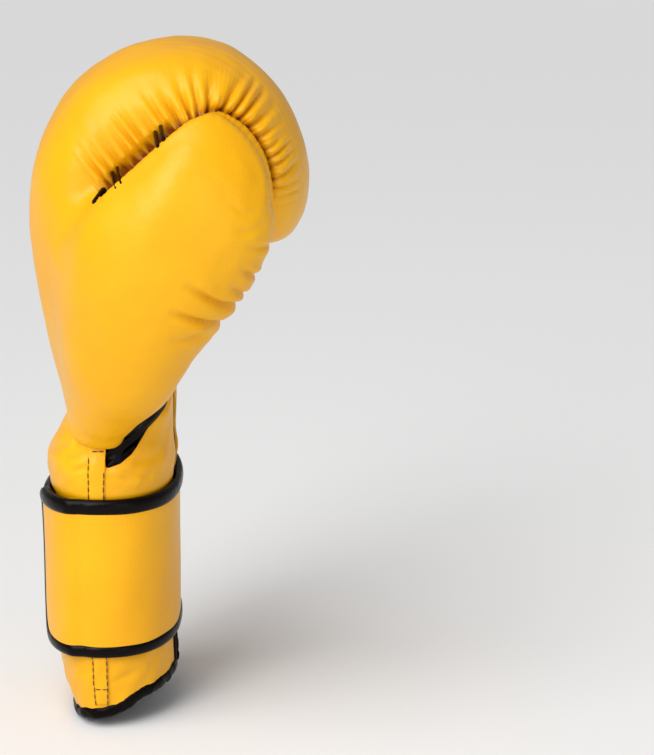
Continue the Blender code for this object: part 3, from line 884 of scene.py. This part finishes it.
def sleeve_top(angle):
    return np.interp(angle % 360, [a for a, _ in TOP_EDGE], [z for _, z in TOP_EDGE])


def from_palm(angle):
    """How many degrees the angle lies from the middle of the palm, either way."""
    return abs((angle + 180) % 360 - 180)


def hem_height(angle):
    """The lower edge of the sleeve: low at the back and the thumb, climbing to the slit on the palm."""
    spots = np.clip(from_palm(angle) + np.array((-7, -3.5, 0, 3.5, 7)), 0, 180)
    return np.mean(np.interp(spots, [a for a, _ in HEM_EDGE], [z for _, z in HEM_EDGE]))


def backness(angle):
    """1 at the back of the hand, 0 from the thumb and little finger sides on to the palm."""
    return smooth((from_palm(angle) - 92) / 50)


def tucked(angle):
    """How far the sleeve's upper edge runs in under the hand, from the thumb side round the back."""
    most = 5.5 - 3.1 * smooth((angle - 120) / 40)
    return most * (smooth((angle - 91) / 10) * smooth((270 - angle) / 45))


def sleeve_point(z, angle, out=0.0):
    back, palm, thumb, little = blend_rows(SLEEVE, z / SLEEVE_TOP)[1:]
    c, s = cos_sin(angle, CUFF_POWER - 0.08 * smooth((z - 128) / 18))
    behind = backness(angle)
    bulge = 2.6 * math.exp(-(((z - 132) / 8.5) ** 2)) * behind
    tuck = -smooth((z - 139) / 12) * tucked(angle % 360)
    turn = from_palm(angle)
    flare = 1.8 * (smooth((z - 144) / 10) * smooth((80 - turn) / 20) * smooth((turn - 8) / 20))
    height = z - strap_foot(angle)
    squeeze = -1.6 * (smooth(height / 6) * smooth((80 - height) / 6))
    ring = 1.0 * math.exp(-(((z - 130) / 7) ** 2)) * (1 - behind)
    reach = out + bulge + tuck + ring + flare + squeeze
    x = ((palm if c > 0 else back) + reach) * c
    y = -((thumb if s > 0 else little) + reach) * s
    return np.array((x, y, z))


def sleeve_normal(z, angle):
    ahead = sleeve_point(z, angle + 0.5) - sleeve_point(z, angle - 0.5)
    up = sleeve_point(z + 0.5, angle) - sleeve_point(z - 0.5, angle)
    out = unit(np.cross(up, ahead))
    return out if out @ sleeve_point(z, angle) > 0 or out[0] * sleeve_point(z, angle)[0] > 0 else -out


SLEEVE_CREASES = (  # start and end as (angle, z), depth, half width
    ((102, 136.5), (126, 131), 1.0, 1.3),
    ((98, 130.0), (116, 127.5), 0.6, 1.0),
    ((128, 139), (170, 131), 1.3, 2.0),
    ((84, 125.5), (62, 122.5), 0.6, 1.2),
    ((72, 127), (48, 124), 0.7, 1.4),
    ((60, 131), (40, 133), 0.9, 2.2),
    ((98, 31), (120, 26), 0.5, 1.4),
    ((84, 24), (58, 29), 0.6, 1.6),
    ((80, 36), (50, 38), 0.4, 1.6),
)


def sleeve_relief(z, angle):
    """How far soft folds draw the sleeve's leather in or out."""
    move = 0.0
    for (a0, z0), (a1, z1), depth, width in SLEEVE_CREASES:
        x, y = (angle - a0) * 0.72, z - z0
        dx, dy = (a1 - a0) * 0.72, z1 - z0
        share = min(max((x * dx + y * dy) / (dx * dx + dy * dy), 0.0), 1.0)
        away = math.hypot(x - dx * share, y - dy * share)
        move -= depth * math.sin(math.pi * (0.12 + 0.76 * share)) * math.exp(-((away / width) ** 2))
        move += 0.3 * depth * math.exp(-(((away - 2.4 * width) / (1.4 * width)) ** 2))
    ripple = 0.35 * math.sin(z * 0.33 + angle * 0.09) * math.sin(angle * 0.21 + 1.3)
    return move + ripple * (smooth((z - 118) / 6) + smooth((42 - z) / 8))


def build_cuff(looks):
    def round_cuff(v):
        return SLIT + (360 - 2 * SLIT) * v

    def skin(u, v):
        angle = round_cuff(v)
        low, high = hem_height(angle) + 3.8, sleeve_top(angle)
        z = low + (high - low) * u
        edge = -0.9 * smooth((z - high + 3) / 3) if angle < 92 or angle > 250 else 0.0
        return sleeve_point(z, angle, sleeve_relief(z, angle) + edge)

    sleeve = shell("cuff_skin", skin, 120, 330, SLEEVE_LEATHER)
    soften_rim(sleeve, 0.6)
    store_painted_crease_shade(sleeve)
    give(sleeve, looks["yellow"], replaced=["cuff_shell", "cuff_padding"])
    bend_at_wrist(sleeve)

    def cloth(u, v):
        angle = round_cuff(v)
        low, high = hem_height(angle) + 5.0, min(sleeve_top(angle) - 3, 139.0)
        return sleeve_point(low + (high - low) * u, angle, 0.15 * math.sin(u * 40 + v * 60) - LINING_DEPTH)

    lining = shell("cuff_cloth", cloth, 50, 160, 0.9)
    give(lining, looks["cloth"], "cuff", ["cuff_lining"])

    angles = np.linspace(SLIT - 3.5, 360 - SLIT + 3.5, 300)
    centre = [sleeve_point(hem_height(a) + HEM_ROLL[1], a, -EDGE_DEPTH) for a in angles]
    spine = [sleeve_normal(hem_height(a) + 6, a) for a in angles]
    hem = roll("hem_roll", centre, lambda i: spine[i], *HEM_ROLL, power=0.72, ring=28)
    wrinkle_roll(hem, 0.45, 7)
    give(hem, looks["black"], "cuff", ["hem_binding"])

    for side, sign in (("thumb", 1), ("little", -1)):
        at = (SLIT - 2.2) * sign
        heights = np.linspace(hem_height(at) + 3.5, 164.5, 90)
        sink = [2.2 * (smooth((z - 112) / 8) * smooth((165 - z) / 6)) for z in heights]
        centre = [sleeve_point(z, at, -EDGE_DEPTH - deeper) for z, deeper in zip(heights, sink)]
        outs = [sleeve_normal(z, at) for z in heights]
        edge = roll(f"slit_roll_{side}", centre, lambda i: outs[i], *SLIT_ROLL, power=0.75, ring=24)
        wrinkle_roll(edge, 0.25, 9 + sign)
        give(edge, looks["black"], replaced=[f"slit_binding_{side}"])
        bend_at_wrist(edge)

    def tongue_face(u, v):
        angle = -24 + 48 * v
        z = 26 + 128 * u
        pad = 1.6 * math.sin(math.pi * min(max(v, 0.0), 1.0)) ** 0.5
        return sleeve_point(z, angle, -12.6 + pad + 0.3 * math.sin(u * 30))

    tongue = shell("tongue_leather", tongue_face, 70, 40, 2.0)
    soften_rim(tongue, 0.7)
    give(tongue, looks["black"], replaced=["tongue"])
    bend_at_wrist(tongue)


def wrinkle_roll(obj, depth, seed):
    points = read_points(obj)
    push_out(obj, depth * (noise(points, 9.0, seed) * 0.6 + noise(points, 4.0, seed + 1) * 0.4))


def build_seam_strip(looks):
    first, last = SEAM_ANGLES

    def face(u, v):
        angle = first + (last - first) * v
        z = 12.5 + 130.5 * u
        crown = 0.5 * math.sin(math.pi * v) ** 0.6
        return sleeve_point(z, angle, 0.55 + crown + sleeve_relief(z, angle))

    strip = shell("seam_strip_leather", face, 200, 18, 0.9)
    soften_rim(strip, 0.35)
    store_painted_crease_shade(strip)
    give(strip, looks["yellow"], replaced=["seam_strip"])
    bend_at_wrist(strip)
    parts = []
    left, right = first + 0.9, last - 0.9
    for seed, angle, low, high in ((3, left, 11.5, 128.5), (4, right, 11.5, 137.5)):
        heights = np.linspace(low, high, 240)
        line = [sleeve_point(z, angle, 0.95 + sleeve_relief(z, angle)) for z in heights]
        outs = [sleeve_normal(z, angle) for z in heights]
        parts.append(stitch_row(line, outs, 3.0, 0.45, slack=0.14, seed=seed))
    for z in (20.5, 137.6):
        turns = np.linspace(left, right, 40)
        line = [sleeve_point(z, a, 1.15) for a in turns]
        outs = [sleeve_normal(z, a) for a in turns]
        parts.append(stitch_row(line, outs, 2.6, 0.35, seed=8))
    thread = join_parts("seam_thread", parts)
    give(thread, looks["thread"])
    bend_at_wrist(thread)


# ---------- the strap

STRAP_IN, STRAP_LIFT = 0.6, 2.4  # the inner face above the cuff's leather, and its rise over the band
LIFT_FROM, LIFT_TO = 105.0, 119.0
STRAP_ROOT, STRAP_TIP = -36.0, 166.0
STRETCHES = (("strap_root", "strap_palm"), ("strap_middle",), ("strap_end",))
STRETCH_ENDS = (STRAP_ROOT, 16.0, 75.0, STRAP_TIP - 2.0)
FOLDS = (-12.0, 45.0, 105.0)  # an angle within each strap stretch, meant for a hinge that is not built here
BAND = (120.0, 323.6)
STRAP_LEATHER, BAND_LEATHER = 2.1, 1.7
BAND_IN = 0.5  # the band's inner face above the cuff's leather
FOOT, CLIMB, CLIMB_PEAK = 36.5, 9.0, -55.0
LOW_LINE, HIGH_LINE = 3.8, 74.6  # heights of the two rolls above the strap's lower edge
LOW_CORNER, HIGH_CORNER = 11.0, 6.0  # radii of the strap end's corners
TIP_MM = 0.70  # millimetres for each degree round the cuff, near the strap's end
STEP = 0.8  # degrees between the sections of a strap roll
ROLL_HIGH, ROLL_TIP, ROLL_LOW = (2.6, 3.9), (2.2, 2.4), (2.2, 3.2)  # half thickness and half height
ROLL_DEPTH = 0.45  # where a roll's middle lies in the leather, as a share of its thickness
FOLD_SPAN = 10.0  # degrees on each side of a fold
MIDDLE_HEIGHT = 39


def strap_foot(angle):
    """The strap's lower edge: level across the thumb side, and climbing on the little finger's side."""
    return FOOT + CLIMB * ((1 + math.cos(math.radians(angle - CLIMB_PEAK))) / 2) ** 5


def strap_rise(angle):
    return STRAP_IN + STRAP_LIFT * smooth((angle - LIFT_FROM) / (LIFT_TO - LIFT_FROM))


def strap_point(height, angle, out):
    """A point this far above the strap's lower edge and this far outside the cuff's leather."""
    return np.array(cuff_point(strap_foot(angle) + height, angle, out))


def outward_at(angle):
    return np.array(cuff_point(100, angle, 1.0) - cuff_point(100, angle, 0.0))


def corner_cut(height):
    """How many degrees the rounded end of the strap falls short at this height."""
    for radius, gap in ((LOW_CORNER, height - LOW_LINE), (HIGH_CORNER, HIGH_LINE - height)):
        if gap < radius:
            return (radius - math.sqrt(max(0.0, radius**2 - (radius - gap) ** 2))) / TIP_MM
    return 0.0


def strap_outline(first, last):
    """(angle, height) along the strap's upper edge, round its end and back along its lower edge."""
    low, high = LOW_LINE + LOW_CORNER, HIGH_LINE - HIGH_CORNER
    points = [(a, HIGH_LINE) for a in np.arange(first, last - HIGH_CORNER / TIP_MM, STEP)]

    def corner(radius, middle, turns):
        for turn in turns:
            c, s = cos_sin(turn)
            points.append((last - (1 - c) * radius / TIP_MM, middle + s * radius))

    corner(HIGH_CORNER, high, np.linspace(90, 0, 14))
    points.extend((last, h) for h in np.linspace(high, low, 50)[1:-1])
    corner(LOW_CORNER, low, np.linspace(0, -90, 20))
    lower = np.arange(last - LOW_CORNER / TIP_MM - STEP, first + STEP / 2, -STEP)
    points.extend((a, LOW_LINE) for a in lower)
    return points + [(first, LOW_LINE)]


def strap_leather(name, first, last, rise, thick, open_first=False, open_last=False, rounded=False):
    """One stretch of the strap's leather, from one angle round the cuff to another, rise(angle) above it."""

    def face(u, v):
        height = LOW_LINE + (HIGH_LINE - LOW_LINE) * u
        end = last - (corner_cut(height) if rounded else 0.0)
        angle = first + (end - first) * v
        pillow = 0.5 * math.sin(math.pi * u) ** 0.5
        ripple = 0.2 * math.sin(angle * 0.13 + u * 2.2) * math.sin(u * 5 + angle * 0.04)
        return strap_point(height, angle, rise(angle) + thick + pillow + ripple)

    columns = max(8, int((last - first) * 1.6))
    made = shell(name, face, 60, columns, thick, open_first, open_last)
    store_painted_crease_shade(made)
    return made


def strap_roll(name, outline, above, half_out, half_up, closed_ends):
    """A roll along the outline, above(angle) outside the cuff's leather."""
    line = [strap_point(height, angle, above(angle)) for angle, height in outline]
    outs = [outward_at(angle) for angle, _ in outline]
    return roll(name, line, lambda i: outs[i], half_out, half_up, 0.9, 22, caps=closed_ends)


def sized(sizes):
    """The sizes as a function of the share along a roll."""
    return lambda share: np.interp(share * (len(sizes) - 1), np.arange(len(sizes)), sizes)


def end_size(outline, upper, tip, lower):
    """The roll's half size along the outline: thick above, slim round the strap's end, thinner below."""
    heights = np.array([h for _, h in outline])
    high = smooth((heights - HIGH_LINE + 5) / 5)
    low = smooth((LOW_LINE + 8 - heights) / 8)
    return sized(tip + (upper - tip) * high + (lower - tip) * low)


def build_strap(looks):
    gloss = looks["gloss"]

    def above(angle):
        return strap_rise(angle) + STRAP_LEATHER * ROLL_DEPTH

    for i, nodes in enumerate(STRETCHES):
        first, last = STRETCH_ENDS[i], STRETCH_ENDS[i + 1]
        tip = i == len(STRETCHES) - 1
        name = f"strap_{'abc'[i]}"
        skin = strap_leather(
            f"{name}_leather", first, last, strap_rise, STRAP_LEATHER, i > 0, not tip, rounded=tip
        )
        made = [(skin, looks["yellow"], nodes)]
        uppers = [f"{node}_top_binding" for node in nodes]
        lowers = [f"{node}_bottom_binding" for node in nodes]
        if tip:
            outline = strap_outline(first, last)
            sizes = [end_size(outline, *three) for three in zip(ROLL_HIGH, ROLL_TIP, ROLL_LOW)]
            edge = strap_roll(f"{name}_roll", outline, above, *sizes, False)
            made.append((edge, gloss, uppers + lowers + ["strap_tip_binding"]))
        else:
            angles = np.arange(first, last + 0.01, (last - first) / round((last - first) / STEP))
            for level, where, sizes, replaced in (
                ("upper", HIGH_LINE, ROLL_HIGH, uppers),
                ("lower", LOW_LINE, ROLL_LOW, lowers),
            ):
                outline = [(a, where) for a in angles]
                edge = strap_roll(f"{name}_{level}_roll", outline, above, *sizes, i == 0)
                made.append((edge, gloss, replaced))
        start, end = (strap_point(MIDDLE_HEIGHT, FOLDS[i] + way * FOLD_SPAN, 5.0) for way in (-1, 1))
        for obj, look, replaced in made:
            give(obj, look, replaced=replaced)
            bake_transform(obj)
    build_band(looks)
    build_tapes(looks)


def build_band(looks):
    """The band sewn round the back of the cuff, which the strap's end sticks to."""
    first, last = BAND
    skin = strap_leather("band_leather", first, last, lambda a: BAND_IN, BAND_LEATHER)
    give(skin, looks["yellow"], "cuff", ["fixed_band"])
    angles = np.linspace(first, last, 240)
    free = smooth((angles - STRAP_TIP + 3) / 8)  # the rolls lie flat where the strap covers them
    for level, where, flat, full, half_up in (
        ("top", HIGH_LINE, 0.9, 2.7, 3.3),
        ("bottom", LOW_LINE, 0.8, 2.1, 2.5),
    ):
        edge = strap_roll(
            f"band_{level}_roll", [(a, where) for a in angles], lambda a: BAND_IN + BAND_LEATHER * 0.7,
            sized(flat + (full - flat) * free), half_up, True,
        )
        give(edge, looks["gloss"], "cuff", [f"fixed_band_{level}_binding"])


TAPE_LOW, TAPE_HEIGHT = 11.5, 56


def build_tapes(looks):
    for name, first, last, out, thick, body in (
        ("loop_patch", 122, 160, 2.75, 0.3, "cuff"),
        ("hook_patch", 124, 157, 2.95, 0.2, "strap_last"),
    ):
        def face(u, v, first=first, last=last, out=out):
            return strap_point(TAPE_LOW + TAPE_HEIGHT * u, first + (last - first) * v, out)

        tape = shell(name + "_tape", face, 30, 40, thick)
        give(tape, looks["tape"], body, [name])


# ---------- gusset, linings, tacks


def build_gusset(looks):
    """The black leather that fills the gap between the thumb's root and the flap of the cuff."""

    def face(u, v):
        angle = 6 + 82 * v
        low = sleeve_top(angle) - 7
        high = sleeve_top(angle) + 2.5 + 16.5 * smooth((angle - 18) / 50)
        z = low + (high - low) * u
        sink = -3.4 + 2.4 * smooth((z - 136) / 10)
        fold = 0.7 * math.sin(z * 0.9 + angle * 0.35) * math.sin(angle * 0.16 + 0.4)
        return sleeve_point(z, angle, sink + fold * smooth((angle - 30) / 30))

    gusset = shell("gusset_leather", face, 60, 110, 1.2)
    give(gusset, looks["gloss"], replaced=["thumb_gusset"])
    bend_at_wrist(gusset)


TETHER_SINK = 1.2  # how deep a tether's ends lie in the leather
TETHERS = (  # ends as (x, z) seen from the thumb side, radius, rise above the leather
    ((4.6, 260.2), (7.4, 264.4), 1.5, 0.9),
    ((15.0, 266.6), (11.1, 272.4), 0.65, 2.0),
    ((17.4, 268.9), (13.5, 274.6), 0.65, 2.0),
    ((33.9, 284.9), (30.8, 290.2), 0.95, 2.0),
    ((36.4, 287.8), (33.4, 292.9), 0.95, 2.0),
)


def build_tethers(looks):
    """Short black threads that hold the thumb to the fingers across the gathered seam."""
    skin = bpy.data.objects["glove_skin"]
    tree = BVHTree.FromObject(skin, bpy.context.evaluated_depsgraph_get())

    def on_skin(x, z):
        start = place((x, -200, z))
        return np.array(tree.ray_cast(start, Vector((0, 1, 0)))[0]) / MM - np.array(DESIGN_ORIGIN)

    parts = []
    for (x0, z0), (x1, z1), radius, rise in TETHERS:
        first, last = on_skin(x0, z0), on_skin(x1, z1)
        shares = np.linspace(0, 1, 14)
        line = [first + (last - first) * f + np.array((0, -rise * math.sin(math.pi * f), 0)) for f in shares]
        for end in (line[0], line[-1]):
            end[1] += TETHER_SINK
        parts.append(tube(line, lambda i: (0, -1, 0), radius, radius, ring=10))
    tethers = join_parts("seam_tethers", parts)
    give(tethers, looks["black"], "hand")


def build_linings(looks):
    """The cloth inside the hand and thumb, smoothed from the model's own shape."""
    for node, body in (("hand_lining", "hand"), ("thumb_lining", "thumb")):
        source = bpy.data.objects[node]
        copied = new_object(node + "_cloth", source.data.copy())
        modify(copied, "SUBSURF", levels=2, render_levels=2)
        push_out(copied, 0.25 * noise(read_points(copied), 14, 51))
        copied.data.shade_smooth()
        give(copied, looks["cloth"], body, [node])


def main():
    looks = make_materials()
    build_stage()
    build_skin(looks)
    build_cuff(looks)
    build_seam_strip(looks)
    build_strap(looks)
    build_gusset(looks)
    build_tethers(looks)
    build_linings(looks)


main()
